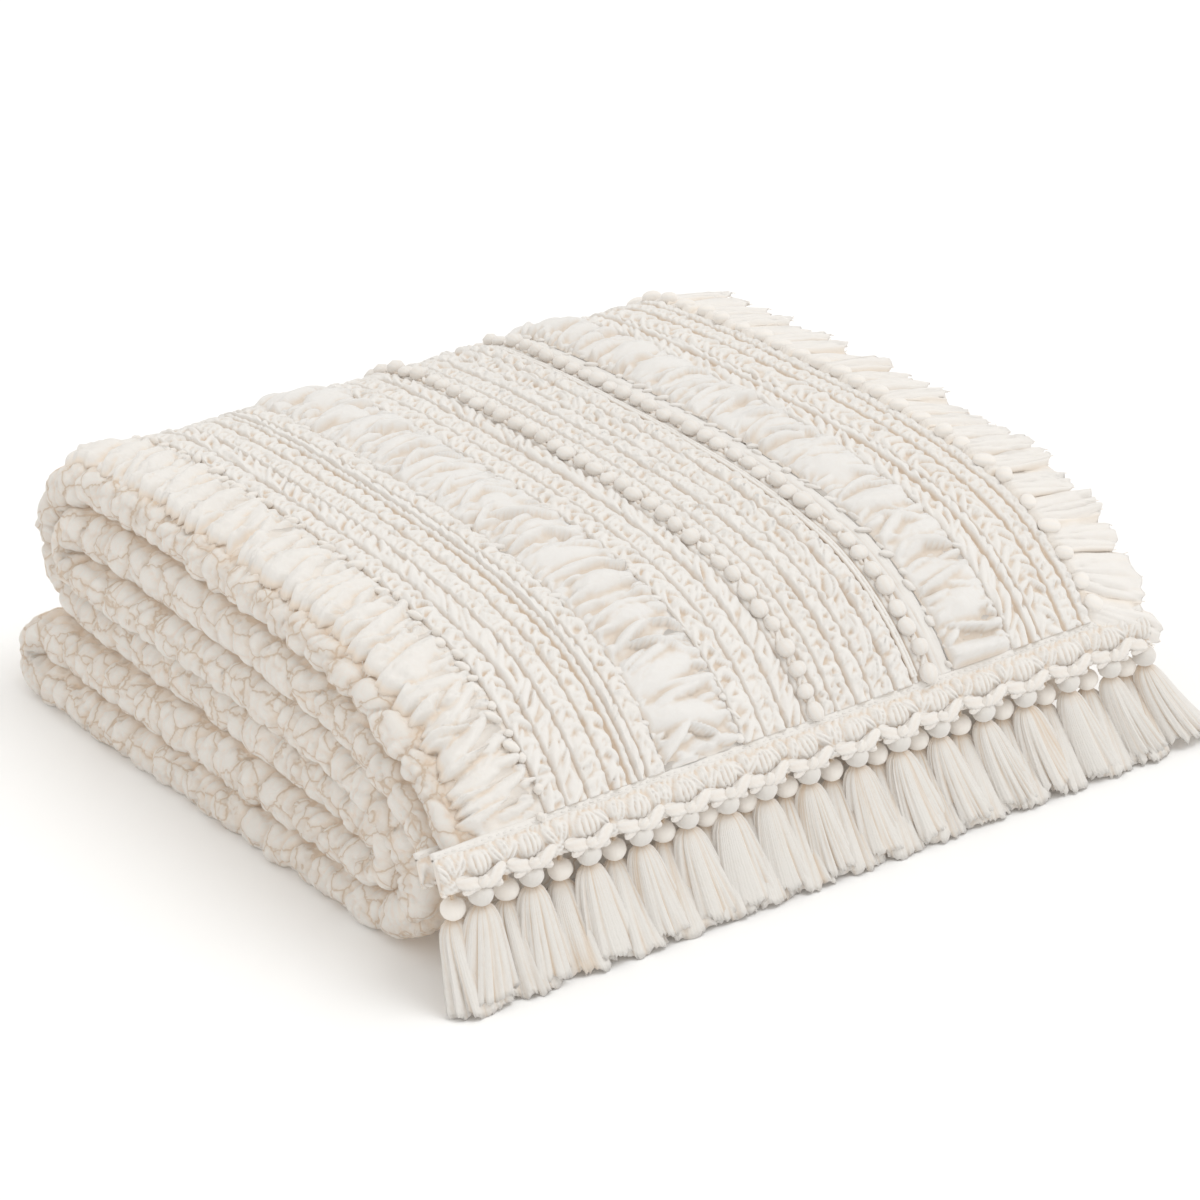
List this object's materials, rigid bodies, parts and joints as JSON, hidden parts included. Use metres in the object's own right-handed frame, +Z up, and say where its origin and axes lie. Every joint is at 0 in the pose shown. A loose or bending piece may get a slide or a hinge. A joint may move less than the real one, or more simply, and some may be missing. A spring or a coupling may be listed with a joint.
{
  "type": "bed runner",
  "caption": "Padded cream cotton bed runner folded into a flat stack, with gathered edge ruffles, corded, ruched and bobble trims along it, crocheted edgings and tassels.",
  "frame": {"origin": "middle of the base of the folded runner's box, on the surface that it lies on", "axes": "+Z up, +X across the runner from its shaded long edge to its ruffled far edge, +Y from the tasselled ends towards the back folds"},
  "size_m": [0.5516, 0.5122, 0.1723],
  "materials": {
    "quilt_cotton": "soft matt cream cotton, puckered and padded",
    "ruffle_cotton": "matt cream cotton voile, gathered, raw edge",
    "trim_cord": "matt cream cotton cord, piping and braid",
    "ruched_cotton": "smooth cream cotton with a faint sheen, ruched",
    "crochet_yarn": "matt cream crochet cotton",
    "tassel_yarn": "soft cream cotton yarn, cut ends"
  },
  "bodies": {
    "root": {"bobble_trim_centre": "trim_cord", "bobble_trim_centre_low": "trim_cord", "corded_trim_far": "trim_cord", "corded_trim_far_low": "trim_cord", "corded_trim_near": "trim_cord", "corded_trim_near_low": "trim_cord", "crochet_edging_lower": "crochet_yarn", "crochet_edging_upper": "crochet_yarn", "hem_binding_lower": "ruffle_cotton", "hem_binding_upper": "ruffle_cotton", "quilted_body": "quilt_cotton", "ruched_band_far": "ruched_cotton", "ruched_band_far_low": "ruched_cotton", "ruched_band_near": "ruched_cotton", "ruched_band_near_low": "ruched_cotton", "ruffle_far": "ruffle_cotton", "ruffle_near": "ruffle_cotton", "tassel_back_01": "tassel_yarn", "tassel_back_02": "tassel_yarn", "tassel_back_03": "tassel_yarn", "tassel_back_04": "tassel_yarn", "tassel_back_05": "tassel_yarn", "tassel_back_06": "tassel_yarn", "tassel_back_07": "tassel_yarn", "tassel_back_08": "tassel_yarn", "tassel_back_09": "tassel_yarn", "tassel_back_10": "tassel_yarn", "tassel_back_11": "tassel_yarn", "tassel_back_12": "tassel_yarn", "tassel_back_13": "tassel_yarn", "tassel_back_14": "tassel_yarn", "tassel_back_15": "tassel_yarn", "tassel_back_16": "tassel_yarn", "tassel_front_01": "tassel_yarn", "tassel_front_02": "tassel_yarn", "tassel_front_03": "tassel_yarn", "tassel_front_04": "tassel_yarn", "tassel_front_05": "tassel_yarn", "tassel_front_06": "tassel_yarn", "tassel_front_07": "tassel_yarn", "tassel_front_08": "tassel_yarn", "tassel_front_09": "tassel_yarn", "tassel_front_10": "tassel_yarn", "tassel_front_11": "tassel_yarn", "tassel_front_12": "tassel_yarn", "tassel_front_13": "tassel_yarn", "tassel_front_14": "tassel_yarn", "tassel_front_15": "tassel_yarn", "tassel_front_16": "tassel_yarn"}
  },
  "joints": []
}
